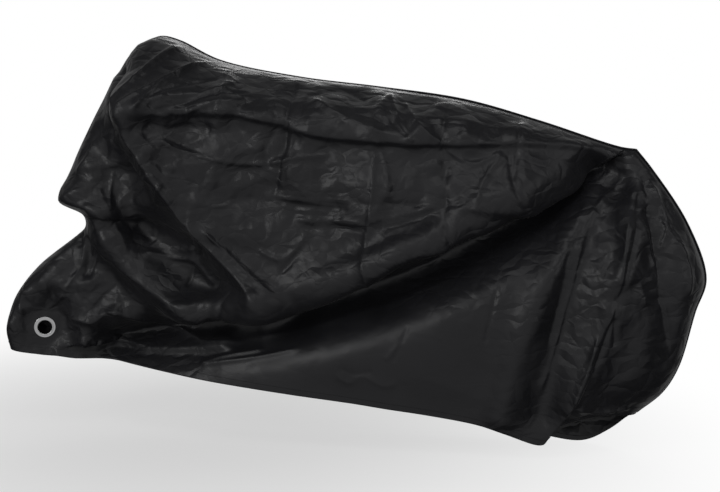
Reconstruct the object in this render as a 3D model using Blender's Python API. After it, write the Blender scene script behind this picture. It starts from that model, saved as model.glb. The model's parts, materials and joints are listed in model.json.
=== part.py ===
"""Fitted bicycle cover in the shape in which it hangs over a bicycle, without the bicycle.

Two side panels of coated cloth meet along a seam that runs up the front edge, along the
spine and down the rear edge. Each panel has a round lock eyelet near the front of its hem.

Metres, +Z up. The front of the bicycle is at -X and the left panel is at -Y. The seam lies
close to the plane Y = 0, apart from the front corner, which follows the turned front wheel.
Outline points are (x, y, z) on the seam and (x, z) on a hem, with z from the ground. At the
end everything moves so that the origin is where the handlebar holds the cover up.
"""
import math

import bpy
import numpy as np

# Cloth and making sizes
CLOTH = 0.002            # thickness of the sheet
SEAM_GAP = 0.0003        # gap between the two panels along the seam
EDGE_ROUND = 0.13        # distance from the seam over which a panel rounds over
CELLS_LONG = 50          # grid cells along a panel
CELLS_HIGH = 22          # grid cells from seam to hem
CROWD_LONG = 0.30        # how much closer the grid lines lie at the ends of a panel
CROWD_HIGH = 0.45        # the same at the seam and at the hem
FRONT_TWIST = 3          # power with which the front corner's sideways turn fades to the rear

HELD_AT = (-0.540, 0.0, 1.150 - CLOTH)   # under the cloth at its highest point

# Lock eyelets
EYELET_BORE = 0.020      # radius of the open hole
EYELET_FLANGE = 0.030    # outer radius of the rings
EYELET_BARREL = 0.0215   # outer radius of the tube that passes through the cloth
EYELET_PLATE = 0.0022    # how far a ring's face stands off the cloth
EYELET_SLACK = 0.0004    # clearance between ring and cloth
EYELET_SIDES = 24
HOLE_IN_CLOTH = 0.0225   # radius of the hole punched in the panel
EYELET_FLAT = 0.068      # radius of the flat patch of cloth around an eyelet
EYELET_BLEND = 0.130     # radius at which the patch has run out into the drape
EYELET_TURN = math.radians(25)   # the cloth there faces this far towards the rear
EYELET_PLACES = {"left": (-0.850, -0.170, 0.311), "right": (-0.840, 0.010, 0.305)}

# Seam outline: x, y, z
FRONT_SEAM = [
    (-0.590, 0.000, 1.134),
    (-0.628, -0.010, 1.086),
    (-0.670, -0.025, 1.013),
    (-0.738, -0.050, 0.882),
    (-0.793, -0.070, 0.752),
    (-0.805, -0.085, 0.705),
    (-0.800, -0.090, 0.667),
    (-0.742, -0.080, 0.628),
    (-0.745, -0.090, 0.602),
    (-0.880, -0.130, 0.486),
    (-0.936, -0.150, 0.412),
    (-0.956, -0.160, 0.350),
    (-0.968, -0.160, 0.298),
    (-0.962, -0.160, 0.246),
]
SPINE_SEAM = [
    (-0.590, 0.000, 1.134),
    (-0.540, 0.000, 1.150),
    (-0.483, 0.000, 1.137),
    (-0.363, 0.000, 1.080),
    (-0.124, 0.000, 1.030),
    (0.107, 0.000, 1.001),
    (0.344, 0.000, 0.966),
    (0.552, 0.000, 0.907),
    (0.767, 0.000, 0.837),
    (0.810, 0.000, 0.831),
]
REAR_SEAM = [
    (0.810, 0.000, 0.831),
    (0.852, 0.000, 0.779),
    (0.950, 0.000, 0.632),
    (1.002, 0.000, 0.485),
    (0.977, 0.000, 0.394),
    (0.938, 0.000, 0.240),
    (0.898, 0.000, 0.168),
    (0.832, 0.000, 0.108),
]

# Hem lines: x, z. The left one runs straight down to a low corner and arches up behind it.
LEFT_HEM = [
    (-0.962, 0.246),
    (-0.780, 0.221),
    (-0.380, 0.182),
    (0.115, 0.135),
    (0.420, 0.090),
    (0.585, 0.040),
    (0.605, 0.075),
    (0.670, 0.106),
    (0.750, 0.118),
    (0.832, 0.108),
]
RIGHT_HEM = [
    (-0.962, 0.246),
    (-0.800, 0.220),
    (-0.450, 0.175),
    (-0.050, 0.130),
    (0.300, 0.070),
    (0.500, 0.025),
    (0.595, 0.004),
    (0.690, 0.002),
    (0.760, 0.040),
    (0.832, 0.108),
]

# Distance of each panel from the seam, metres. One row for each place along the panel.
#            along  seam  shoulder upper middle lower hem
WIDTH_LEVELS = (0.00, 0.12, 0.30, 0.55, 0.80, 1.00)
LEFT_WIDTHS = [
    (0.00, 0.10, 0.13, 0.15, 0.13, 0.07, 0.055),
    (0.10, 0.15, 0.20, 0.22, 0.14, 0.07, 0.060),
    (0.20, 0.16, 0.21, 0.22, 0.16, 0.11, 0.090),
    (0.35, 0.14, 0.18, 0.20, 0.20, 0.17, 0.150),
    (0.50, 0.12, 0.16, 0.18, 0.20, 0.20, 0.180),
    (0.65, 0.11, 0.14, 0.16, 0.19, 0.20, 0.180),
    (0.80, 0.09, 0.11, 0.13, 0.16, 0.17, 0.150),
    (0.90, 0.07, 0.09, 0.11, 0.14, 0.14, 0.120),
    (1.00, 0.06, 0.07, 0.09, 0.12, 0.11, 0.060),
]
RIGHT_WIDTHS = [
    (0.00, 0.10, 0.15, 0.19, 0.20, 0.15, 0.13),
    (0.10, 0.16, 0.24, 0.28, 0.24, 0.19, 0.18),
    (0.20, 0.17, 0.24, 0.26, 0.24, 0.22, 0.21),
    (0.35, 0.14, 0.19, 0.21, 0.22, 0.22, 0.21),
    (0.50, 0.12, 0.16, 0.18, 0.20, 0.20, 0.18),
    (0.65, 0.11, 0.14, 0.16, 0.18, 0.17, 0.14),
    (0.80, 0.09, 0.11, 0.13, 0.15, 0.12, 0.07),
    (0.90, 0.07, 0.09, 0.11, 0.12, 0.09, 0.05),
    (1.00, 0.06, 0.07, 0.09, 0.10, 0.07, 0.04),
]

# Main folds: name, height out of the panel (negative is a trough), half width, path of (x, z)
LEFT_FOLDS = [
    ("handlebar end", 0.075, 0.10, [(-0.545, 0.935), (-0.535, 0.930)]),
    ("roll along the top", 0.030, 0.055,
     [(-0.53, 0.960), (-0.17, 0.945), (0.11, 0.890), (0.52, 0.885), (0.70, 0.855)]),
    ("tuck under the roll", -0.028, 0.045,
     [(-0.45, 0.885), (-0.17, 0.870), (0.11, 0.815), (0.52, 0.810), (0.70, 0.790)]),
    ("ridge down from the handlebar", 0.034, 0.045,
     [(-0.56, 0.900), (-0.49, 0.797), (-0.39, 0.638), (-0.16, 0.400)]),
    ("hollow ahead of that ridge", -0.060, 0.085,
     [(-0.63, 0.860), (-0.60, 0.700), (-0.54, 0.585), (-0.36, 0.430)]),
    ("ridge from the lamp", 0.045, 0.055,
     [(-0.79, 0.680), (-0.70, 0.640), (-0.59, 0.520), (-0.41, 0.375), (-0.20, 0.370)]),
    ("hollow over the wheel", -0.035, 0.065,
     [(-0.74, 0.575), (-0.64, 0.460), (-0.52, 0.370)]),
    ("swag trough", -0.105, 0.064,
     [(-0.66, 0.262), (-0.36, 0.297), (-0.03, 0.355), (0.245, 0.455), (0.465, 0.580),
      (0.700, 0.755)]),
    ("swag edge above", 0.022, 0.070,
     [(-0.20, 0.400), (0.11, 0.500), (0.31, 0.590), (0.52, 0.700)]),
    ("swag edge below", 0.035, 0.058,
     [(-0.70, 0.240), (-0.30, 0.248), (0.11, 0.343), (0.36, 0.450), (0.585, 0.610),
      (0.740, 0.780)]),
    ("rear fold 1", 0.022, 0.045, [(0.740, 0.74), (0.600, 0.50), (0.510, 0.28), (0.470, 0.12)]),
    ("rear fold 2", -0.026, 0.040, [(0.770, 0.75), (0.690, 0.62), (0.625, 0.38), (0.575, 0.12)]),
    ("rear fold 3", 0.026, 0.042, [(0.815, 0.74), (0.800, 0.60), (0.740, 0.35), (0.670, 0.15)]),
    ("rear fold 4", -0.028, 0.040, [(0.835, 0.74), (0.866, 0.57), (0.890, 0.42), (0.905, 0.28)]),
    ("side dent", -0.016, 0.080, [(-0.22, 0.76), (-0.08, 0.62), (0.06, 0.57)]),
    ("side swell", 0.014, 0.080, [(0.10, 0.74), (0.28, 0.71), (0.48, 0.73)]),
    ("wheel crease", 0.014, 0.035, [(-0.79, 0.55), (-0.83, 0.47), (-0.86, 0.41)]),
]
RIGHT_FOLDS = [
    ("handlebar end", 0.060, 0.10, [(-0.665, 0.950), (-0.655, 0.945)]),
    ("roll along the top", 0.026, 0.060,
     [(-0.60, 0.955), (-0.15, 0.930), (0.25, 0.880), (0.68, 0.835)]),
    ("tuck under the roll", -0.024, 0.050,
     [(-0.50, 0.870), (-0.15, 0.850), (0.25, 0.800), (0.66, 0.760)]),
    ("swag trough", -0.055, 0.085,
     [(-0.55, 0.380), (-0.15, 0.400), (0.25, 0.520), (0.62, 0.700)]),
    ("swag edge below", 0.030, 0.060,
     [(-0.62, 0.300), (-0.15, 0.300), (0.30, 0.410), (0.68, 0.660)]),
    ("rear fold 1", 0.022, 0.050, [(0.76, 0.70), (0.66, 0.42), (0.56, 0.12)]),
    ("rear fold 2", -0.022, 0.045, [(0.82, 0.72), (0.80, 0.42), (0.71, 0.13)]),
    ("ridge from the lamp", 0.030, 0.070, [(-0.76, 0.680), (-0.62, 0.560), (-0.45, 0.520)]),
]

# Cloth and eyelet finish: colour, roughness, metallic
FINISHES = {
    "coated_cloth": ((0.018, 0.018, 0.020, 1.0), 0.42, 0.0),
    "eyelet_metal": ((0.80, 0.80, 0.82, 1.0), 0.25, 1.0),
}


def clear_scene():
    """Remove what the scene starts with."""
    for thing in list(bpy.data.objects):
        bpy.data.objects.remove(thing, do_unlink=True)


def finish(name):
    """Return the named material, made on first use."""
    material = bpy.data.materials.get(name)
    if material is None:
        colour, roughness, metallic = FINISHES[name]
        material = bpy.data.materials.new(name)
        material.use_nodes = True
        shader = material.node_tree.nodes["Principled BSDF"]
        shader.inputs["Base Color"].default_value = colour
        shader.inputs["Roughness"].default_value = roughness
        shader.inputs["Metallic"].default_value = metallic
        material.diffuse_color = colour
    return material


def smooth_path(points, steps=24):
    """Centripetal Catmull-Rom curve through the points, as an array of rows."""
    points = np.array(points, float)
    ends = [2 * points[0] - points[1]], [2 * points[-1] - points[-2]]
    knots = np.vstack([ends[0], points, ends[1]])
    rows = []
    for i in range(1, len(knots) - 2):
        p = knots[i - 1:i + 3]
        gaps = np.maximum(np.linalg.norm(np.diff(p, axis=0), axis=1) ** 0.5, 1e-6)
        t = np.concatenate([[0.0], np.cumsum(gaps)])
        for step in range(steps):
            s = t[1] + (t[2] - t[1]) * step / steps
            a = [(p[k] * (t[k + 1] - s) + p[k + 1] * (s - t[k])) / (t[k + 1] - t[k])
                 for k in range(3)]
            b = [(a[k] * (t[k + 2] - s) + a[k + 1] * (s - t[k])) / (t[k + 2] - t[k])
                 for k in range(2)]
            rows.append((b[0] * (t[2] - s) + b[1] * (s - t[1])) / (t[2] - t[1]))
    rows.append(points[-1])
    return np.array(rows)


def along(path, fractions):
    """Points at the given fractions of a path's length."""
    lengths = np.concatenate([[0.0], np.cumsum(np.linalg.norm(np.diff(path, axis=0), axis=1))])
    lengths /= lengths[-1]
    return np.column_stack([np.interp(fractions, lengths, path[:, k]) for k in range(path.shape[1])])


def crowded(cells, amount):
    """Grid positions from 0 to 1, closer together at both ends, with each cell's middle."""
    t = np.linspace(0.0, 1.0, 2 * cells + 1)
    return t - amount * np.sin(2 * np.pi * t) / (2 * np.pi)


def distance_to(path, x, z):
    """Least distance in the XZ plane from each grid point to a path of (x, z) rows."""
    start, run = path[:-1], np.diff(path, axis=0)
    best = np.full(x.shape, np.inf)
    for (px, pz), (dx, dz) in zip(start, run):
        t = np.clip(((x - px) * dx + (z - pz) * dz) / (dx * dx + dz * dz + 1e-12), 0.0, 1.0)
        best = np.minimum(best, np.hypot(x - px - t * dx, z - pz - t * dz))
    return best


def soft_bump(distance, half_width):
    """1 on the path, falling smoothly to 0 at about twice the half width."""
    return np.exp(-(distance / half_width) ** 2)


def width_surface(rows, u, v):
    """Widths between the rows and levels of a table, eased so that no kink shows."""
    table = np.array(rows)
    stations, values = table[:, 0], table[:, 1:]
    fine_u = np.linspace(0.0, 1.0, 101)
    fine_v = np.linspace(0.0, 1.0, 61)
    by_level = np.array([np.interp(fine_u, stations, values[:, k]) for k in range(values.shape[1])])
    grid = np.array([np.interp(fine_v, WIDTH_LEVELS, by_level[:, i]) for i in range(len(fine_u))])
    for _ in range(40):
        padded = np.pad(grid, 1, mode="edge")
        grid = (padded[:-2, 1:-1] + padded[2:, 1:-1] + padded[1:-1, :-2] + padded[1:-1, 2:]) / 4
    at_v = np.array([np.interp(v, fine_v, row) for row in grid])
    return np.array([np.interp(u, fine_u, at_v[:, j]) for j in range(len(v))]).T


def panel_grid(side, hem, widths, folds):
    """Outer surface of one panel: arrays x, y, z of shape (along, down).

    Even rows and columns are the grid, and odd ones the middles of its cells.
    """
    outward = -1.0 if side == "left" else 1.0
    u = crowded(CELLS_LONG, CROWD_LONG)
    v = crowded(CELLS_HIGH, CROWD_HIGH)
    top = along(smooth_path(SPINE_SEAM), u)
    front = along(smooth_path(FRONT_SEAM), v)
    rear = along(smooth_path(REAR_SEAM), v)
    bottom = along(smooth_path(hem), u)
    uu, vv = np.meshgrid(u, v, indexing="ij")

    def patch(top_row, bottom_row, front_row, rear_row):
        """Surface stretched between four edges."""
        between = (1 - vv) * top_row[:, None] + vv * bottom_row[:, None]
        across = (1 - uu) * front_row[None, :] + uu * rear_row[None, :]
        corners = ((1 - uu) * ((1 - vv) * top_row[0] + vv * bottom_row[0])
                   + uu * ((1 - vv) * top_row[-1] + vv * bottom_row[-1]))
        return between + across - corners

    x = patch(top[:, 0], bottom[:, 0], front[:, 0], rear[:, 0])
    z = patch(top[:, 2], bottom[:, 1], front[:, 2], rear[:, 2])
    seam_y = (1 - uu) ** FRONT_TWIST * front[None, :, 1]

    seam = np.vstack([smooth_path(FRONT_SEAM)[::-1], smooth_path(SPINE_SEAM),
                      smooth_path(REAR_SEAM)])[:, [0, 2]]
    from_seam = distance_to(seam, x, z)
    rounding = np.sqrt(1 - (1 - np.minimum(from_seam / EDGE_ROUND, 1.0)) ** 2)
    width = width_surface(widths, u, v) * rounding
    for _, height, half_width, path in folds:
        reach = distance_to(smooth_path(path, 8), x, z)
        width = width + height * soft_bump(reach, half_width) * rounding
    y = seam_y + outward * (width + SEAM_GAP / 2)
    return x, y, z


def flatten_for_eyelet(side, x, y, z):
    """Lay the cloth around an eyelet on a plane that faces a little to the rear."""
    cx, cy, cz = EYELET_PLACES[side]
    plane = cy + (x - cx) * math.tan(EYELET_TURN)
    reach = np.hypot(x - cx, z - cz)
    share = np.clip((EYELET_BLEND - reach) / (EYELET_BLEND - EYELET_FLAT), 0.0, 1.0)
    share = share * share * (3 - 2 * share)
    share[0, :] = 0.0
    return y + (plane - y) * share


def sheet_mesh(side, x, y, z):
    """Close the surface into a sheet of cloth thickness and return its mesh."""
    surface = np.stack([x, y, z], axis=-1)
    outer = surface[::2, ::2]
    # Each cell is split along the diagonal that lies closer to the drape at its middle.
    middles = surface[1::2, 1::2]
    falling = (outer[:-1, :-1] + outer[1:, 1:]) / 2
    rising = (outer[:-1, 1:] + outer[1:, :-1]) / 2
    splits_falling = (np.linalg.norm(falling - middles, axis=-1)
                      < np.linalg.norm(rising - middles, axis=-1))
    run_u = np.gradient(outer, axis=0)
    run_v = np.gradient(outer, axis=1)
    normal = np.cross(run_u, run_v)
    normal /= np.linalg.norm(normal, axis=-1, keepdims=True)
    outward = -1.0 if side == "left" else 1.0
    normal *= np.sign(outward * normal[CELLS_LONG // 2, CELLS_HIGH // 2, 1])
    # Along the seam the sheet's end stands square to the seam, so the panels can't cross.
    edges = [(np.s_[:, 0], run_u), (np.s_[0, :], run_v), (np.s_[-1, :], run_v)]
    middle = outer.mean(axis=(0, 1)) * [1, 0, 1]
    for where, run in edges:
        tangent = run[where] * [1, 0, 1]
        square = np.stack([tangent[:, 2], 0 * tangent[:, 0], -tangent[:, 0]], axis=-1)
        square /= np.linalg.norm(square, axis=-1, keepdims=True)
        away = np.sign(np.sum(square * (outer[where] - middle), axis=-1, keepdims=True))
        normal[where] = square * away
    inner = outer - CLOTH * normal

    long_count, high_count = outer.shape[:2]
    verts = np.vstack([outer.reshape(-1, 3), inner.reshape(-1, 3)])
    inner_start = long_count * high_count

    def at(i, j, layer):
        return layer * inner_start + i * high_count + j

    faces = []
    for i in range(long_count - 1):
        for j in range(high_count - 1):
            ring = [(i, j), (i, j + 1), (i + 1, j + 1), (i + 1, j)]
            if not splits_falling[i, j]:
                ring = ring[1:] + ring[:1]
            for triangle in ((ring[0], ring[1], ring[2]), (ring[0], ring[2], ring[3])):
                faces.append([at(k, m, 0) for k, m in triangle])
                faces.append([at(k, m, 1) for k, m in reversed(triangle)])
    rim = ([(i, 0) for i in range(long_count)]
           + [(long_count - 1, j) for j in range(1, high_count)]
           + [(i, high_count - 1) for i in range(long_count - 2, -1, -1)]
           + [(0, j) for j in range(high_count - 2, 0, -1)])
    for (i, j), (k, m) in zip(rim, rim[1:] + rim[:1]):
        faces.append((at(i, j, 0), at(k, m, 0), at(k, m, 1), at(i, j, 1)))
    if side == "right":
        faces = [face[::-1] for face in faces]
    mesh = bpy.data.meshes.new("panel_" + side)
    mesh.from_pydata(verts.tolist(), [], faces)
    mesh.update()
    return mesh


def add_object(name, mesh, material):
    """Put a mesh in the scene as a named object with its own material."""
    mesh.materials.append(finish(material))
    thing = bpy.data.objects.new(name, mesh)
    bpy.context.scene.collection.objects.link(thing)
    return thing


def eyelet_rotation(side):
    """Rotation that turns a ring's axis from +Z to the cloth's outward normal."""
    heading = EYELET_TURN if side == "left" else EYELET_TURN + math.pi
    return (math.pi / 2, 0.0, heading)


def cut_eyelet_hole(panel, side, layer_middle):
    """Punch the round hole for an eyelet with a hidden cutter."""
    bpy.ops.mesh.primitive_cylinder_add(vertices=EYELET_SIDES, radius=HOLE_IN_CLOTH, depth=0.05,
                                        location=layer_middle, rotation=eyelet_rotation(side))
    cutter = bpy.context.object
    cutter.name = "eyelet_cutter_" + side
    cutter.hide_render = True
    cutter.display_type = "WIRE"
    punch = panel.modifiers.new("eyelet hole", "BOOLEAN")
    punch.operation = "DIFFERENCE"
    punch.solver = "EXACT"
    punch.object = cutter
    return cutter


def eyelet_mesh(side):
    """One turned ring: a bored tube with a domed ring on each face of the cloth."""
    channel = CLOTH / 2 + EYELET_SLACK
    face = channel + EYELET_PLATE
    roll = 0.0012
    profile = [
        (EYELET_BORE, -face + roll), (EYELET_BORE + roll, -face), (EYELET_FLANGE - 3 * roll, -face),
        (EYELET_FLANGE, -channel - roll / 2), (EYELET_FLANGE, -channel), (EYELET_BARREL, -channel),
        (EYELET_BARREL, channel), (EYELET_FLANGE, channel), (EYELET_FLANGE, channel + roll / 2),
        (EYELET_FLANGE - 3 * roll, face), (EYELET_BORE + roll, face), (EYELET_BORE, face - roll),
    ]
    verts = []
    for step in range(EYELET_SIDES):
        angle = 2 * math.pi * step / EYELET_SIDES
        for radius, height in profile:
            verts.append((radius * math.cos(angle), radius * math.sin(angle), height))
    count = len(profile)
    faces = []
    for step in range(EYELET_SIDES):
        after = (step + 1) % EYELET_SIDES
        for k in range(count):
            m = (k + 1) % count
            faces.append((step * count + k, step * count + m, after * count + m, after * count + k))
    mesh = bpy.data.meshes.new("eyelet_" + side)
    mesh.from_pydata(verts, [], [face[::-1] for face in faces])
    mesh.update()
    return mesh


def build_side(side, hem, widths, folds):
    """One panel with its eyelet. Returns the objects made."""
    x, y, z = panel_grid(side, hem, widths, folds)
    y = flatten_for_eyelet(side, x, y, z)
    panel = add_object("panel_" + side, sheet_mesh(side, x, y, z), "coated_cloth")
    # The cloth's middle layer lies half a thickness inside the outer surface.
    facing = (math.sin(EYELET_TURN), -math.cos(EYELET_TURN)) if side == "left" else (
        -math.sin(EYELET_TURN), math.cos(EYELET_TURN))
    cx, cy, cz = EYELET_PLACES[side]
    middle = (cx - facing[0] * CLOTH / 2, cy - facing[1] * CLOTH / 2, cz)
    cutter = cut_eyelet_hole(panel, side, middle)
    eyelet = add_object("eyelet_" + side, eyelet_mesh(side), "eyelet_metal")
    eyelet.location = middle
    eyelet.rotation_euler = eyelet_rotation(side)
    for polygon in panel.data.polygons:
        polygon.use_smooth = True
    return [panel, cutter, eyelet]


def hang_from_origin(things):
    """Move everything so that the point that holds the cover up is the origin."""
    for thing in things:
        thing.location = [thing.location[k] - HELD_AT[k] for k in range(3)]


clear_scene()
made = build_side("left", LEFT_HEM, LEFT_WIDTHS, LEFT_FOLDS)
made += build_side("right", RIGHT_HEM, RIGHT_WIDTHS, RIGHT_FOLDS)
hang_from_origin(made)
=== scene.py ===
"""Black bicycle cover hung in its fitted shape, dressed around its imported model.

The two side panels are thin sheets on the folds of their solids. Each has its turned hem,
tension ridges, package creases and crumpled facets. A narrow sewn ridge joins the panels up the
front, along the spine and down the rear. The lock eyelets are turned rings, and each hem
carries a row of stitches.

Metres, +Z up, but the tables inside metres() are in millimetres. They are in making sizes, with
z from the ground and the seam near Y = 0, and HELD_AT, where the handlebar holds the cover up,
lies on the record's mount.
"""
import json
import math

import bpy
import numpy as np
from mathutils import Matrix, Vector
from mathutils.geometry import delaunay_2d_cdt


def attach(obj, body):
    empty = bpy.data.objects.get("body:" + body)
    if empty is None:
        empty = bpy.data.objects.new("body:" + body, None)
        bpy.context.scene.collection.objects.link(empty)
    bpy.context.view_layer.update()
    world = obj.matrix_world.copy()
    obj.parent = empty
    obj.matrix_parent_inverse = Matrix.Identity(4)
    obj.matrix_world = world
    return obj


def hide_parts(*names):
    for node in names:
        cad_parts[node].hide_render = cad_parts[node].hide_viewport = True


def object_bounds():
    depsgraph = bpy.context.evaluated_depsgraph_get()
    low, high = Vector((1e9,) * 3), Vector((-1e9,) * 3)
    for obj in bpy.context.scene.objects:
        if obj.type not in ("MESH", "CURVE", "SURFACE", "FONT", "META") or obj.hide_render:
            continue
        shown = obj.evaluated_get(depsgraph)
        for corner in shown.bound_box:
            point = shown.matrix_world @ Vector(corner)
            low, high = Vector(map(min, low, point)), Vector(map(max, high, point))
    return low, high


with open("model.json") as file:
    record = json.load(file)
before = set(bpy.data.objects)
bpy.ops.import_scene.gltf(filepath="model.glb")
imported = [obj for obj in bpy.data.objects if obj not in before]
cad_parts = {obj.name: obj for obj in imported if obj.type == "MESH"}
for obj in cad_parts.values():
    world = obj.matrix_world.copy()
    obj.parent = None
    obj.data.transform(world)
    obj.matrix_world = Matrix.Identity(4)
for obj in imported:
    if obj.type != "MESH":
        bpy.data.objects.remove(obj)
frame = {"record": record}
cad_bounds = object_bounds()

HELD_AT = (-0.540, 0.0, 1.148)


def metres(table):
    """The same table with its millimetres turned into metres. Words stay as they are."""
    if isinstance(table, (list, tuple)):
        return type(table)(metres(part) for part in table)
    return table if isinstance(table, str) else table / 1000


# Sheets
EDGE_ROUND = 0.13        # distance from the seam over which a panel rounds over
EASE_PASSES = 360        # how often the table of widths is averaged with its neighbours
CROWD_LONG = 0.20        # how much closer the grid lines lie at the ends of a panel
CROWD_HIGH = 0.35        # the same at the seam and at the hem
FRONT_TWIST = 3          # power with which the front corner's sideways turn fades to the rear
SEAM_GAP = 0.0008
SEAM_RIDGE = 0.0018      # radius of the sewn ridge that joins the panels
SEAM_CALM = 0.025        # distance from the seam over which creases and crumples fade in
FIN_HEIGHT = 0.003       # the panels stay pinched over this height along the rear half
FIN_START, FIN_RUN = -0.10, 0.45    # where that begins, and the length over which it grows
FIN_DEPTH = 0.5          # the share of a panel's height over which it fades out
HEM_TURN = 0.020         # width of the turned hem
HEM_THICK = 0.0022
HEM_ROWS = 11            # rows of the grid that give the spacing near the hem
CLOTH_MIDDLE = 0.001     # the sheet lies this far inside the solid's face

# Lock eyelets
EYELET_BORE = 0.020
EYELET_FLANGE = 0.0305
EYELET_LIFT = 0.0016     # the rolled rims lie this far out from the cloth on both faces
BORE_LIP = 0.0021        # radius of the bore's lip
RIM_ROLL = 0.0014        # radius of the outer rim
RIM_STEPS, RING_STEPS = 8, 96
EYELET_FLAT = 0.040      # the cloth is flat out to this distance from an eyelet's centre
EYELET_BLEND = 0.150     # and follows its folds again from here on
EYELET_TURN = math.radians(25)
HOLE_IN_CLOTH = 0.0235
HOLE_DEPTH = 0.03        # the hole takes only cloth this close to the eyelet's plane
EYELET_PLACES = {"left": (-0.850, -0.170, 0.311), "right": (-0.840, 0.010, 0.305)}

# Stitches along the top of each turned hem
STITCH_ROW = -7          # the row of the panel's grid that they follow
STITCH_PITCH = 0.0045
STITCH_LENGTH = 0.0034
STITCH_RADIUS = 0.0005
STITCH_SIDES = 6
STITCH_MARGIN = 0.012    # the row stops this far short of the hem's ends
# Place along a stitch, and thickness there
STITCH_RINGS = [(-0.5, 0.35), (-0.25, 1.0), (0.25, 1.0), (0.5, 0.35)]

FRONT_SEAM = metres([
    (-590, 0, 1134), (-628, -10, 1086), (-670, -25, 1013), (-738, -50, 882), (-793, -70, 752),
    (-805, -85, 705), (-800, -90, 667), (-742, -80, 628), (-745, -90, 602), (-880, -130, 486),
    (-936, -150, 412), (-956, -160, 350), (-968, -160, 298), (-962, -160, 246),
])
SPINE_SEAM = metres([
    (-590, 0, 1134), (-540, 0, 1150), (-483, 0, 1137), (-363, 0, 1080), (-124, 0, 1030),
    (107, 0, 1001), (344, 0, 966), (552, 0, 907), (767, 0, 837), (810, 0, 831),
])
REAR_SEAM = metres([
    (810, 0, 831), (852, 0, 779), (950, 0, 632), (1002, 0, 485), (977, 0, 394), (938, 0, 240),
    (898, 0, 168), (832, 0, 108),
])
LEFT_HEM = metres([
    (-962, 246), (-780, 221), (-380, 182), (115, 135), (420, 90), (585, 40), (605, 75), (670, 106),
    (750, 118), (832, 108),
])
RIGHT_HEM = metres([
    (-962, 246), (-800, 220), (-450, 175), (-50, 130), (300, 70), (500, 25), (595, 4), (690, 2),
    (760, 40), (832, 108),
])

# Distance of each panel from the seam. Columns: along, then the six levels below.
WIDTH_LEVELS = (0.00, 0.12, 0.30, 0.55, 0.80, 1.00)
LEFT_WIDTHS = [
    (0.00, 0.10, 0.13, 0.15, 0.13, 0.07, 0.055),
    (0.10, 0.15, 0.20, 0.22, 0.14, 0.07, 0.060),
    (0.20, 0.16, 0.21, 0.22, 0.16, 0.11, 0.090),
    (0.35, 0.14, 0.18, 0.20, 0.20, 0.17, 0.150),
    (0.50, 0.12, 0.16, 0.18, 0.20, 0.20, 0.180),
    (0.65, 0.11, 0.14, 0.16, 0.19, 0.20, 0.180),
    (0.80, 0.09, 0.11, 0.13, 0.16, 0.17, 0.150),
    (0.90, 0.07, 0.09, 0.11, 0.14, 0.14, 0.120),
    (1.00, 0.06, 0.07, 0.09, 0.12, 0.11, 0.060),
]
RIGHT_WIDTHS = [
    (0.00, 0.10, 0.15, 0.19, 0.20, 0.15, 0.13),
    (0.10, 0.16, 0.24, 0.28, 0.24, 0.19, 0.18),
    (0.20, 0.17, 0.24, 0.26, 0.24, 0.22, 0.21),
    (0.35, 0.14, 0.19, 0.21, 0.22, 0.22, 0.21),
    (0.50, 0.12, 0.16, 0.18, 0.20, 0.20, 0.18),
    (0.65, 0.11, 0.14, 0.16, 0.18, 0.17, 0.14),
    (0.80, 0.09, 0.11, 0.13, 0.15, 0.12, 0.07),
    (0.90, 0.07, 0.09, 0.11, 0.12, 0.09, 0.05),
    (1.00, 0.06, 0.07, 0.09, 0.10, 0.07, 0.04),
]

# Main folds: name, height out of the panel (negative is a trough), half width (two where it
# differs above and below), path of (x, z)
LEFT_FOLDS = metres([
    ("handlebar end", 75, 100, [(-545, 935), (-535, 930)]),
    ("roll along the top", 20, 60, [(-530, 960), (-170, 945), (110, 890), (520, 885), (700, 855)]),
    ("tuck under the roll", -10, 45,
     [(-450, 885), (-170, 870), (110, 815), (520, 810), (700, 790)]),
    ("ridge down from the handlebar", 34, 45,
     [(-560, 900), (-490, 797), (-390, 638), (-160, 400)]),
    ("hollow ahead of that ridge", -60, 85, [(-630, 860), (-600, 700), (-540, 585), (-360, 430)]),
    ("ridge from the lamp", 45, 55,
     [(-790, 680), (-700, 640), (-590, 520), (-410, 375), (-200, 370)]),
    ("hollow over the wheel", -35, 65, [(-740, 575), (-640, 460), (-520, 370)]),
    ("swag trough", -135, (45, 95),
     [(-660, 275), (-360, 330), (-30, 405), (245, 510), (465, 630), (700, 780)]),
    ("swag edge above", 10, 70, [(-200, 400), (110, 500), (310, 590), (520, 700)]),
    ("swag edge below", 6, 58,
     [(-700, 240), (-300, 248), (110, 343), (360, 450), (585, 610), (740, 780)]),
    ("rear fold 1", 22, 45, [(740, 740), (600, 500), (510, 280), (470, 120)]),
    ("rear fold 2", -26, 40, [(770, 750), (690, 620), (625, 380), (575, 120)]),
    ("rear fold 3", 26, 42, [(815, 740), (800, 600), (740, 350), (670, 150)]),
    ("rear fold 4", -28, 40, [(835, 740), (866, 570), (890, 420), (905, 280)]),
    ("side dent", -16, 80, [(-220, 760), (-80, 620), (60, 570)]),
    ("side swell", 14, 80, [(100, 740), (280, 710), (480, 730)]),
    ("wheel crease", 14, 35, [(-790, 550), (-830, 470), (-860, 410)]),
])
RIGHT_FOLDS = metres([
    ("handlebar end", 60, 100, [(-665, 950), (-655, 945)]),
    ("roll along the top", 26, 60, [(-600, 955), (-150, 930), (250, 880), (680, 835)]),
    ("tuck under the roll", -24, 50, [(-500, 870), (-150, 850), (250, 800), (660, 760)]),
    ("swag trough", -55, 85, [(-550, 380), (-150, 400), (250, 520), (620, 700)]),
    ("swag edge below", 30, 60, [(-620, 300), (-150, 300), (300, 410), (680, 660)]),
    ("rear fold 1", 22, 50, [(760, 700), (660, 420), (560, 120)]),
    ("rear fold 2", -22, 45, [(820, 720), (800, 420), (710, 130)]),
    ("ridge from the lamp", 30, 70, [(-760, 680), (-620, 560), (-450, 520)]),
])

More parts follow.
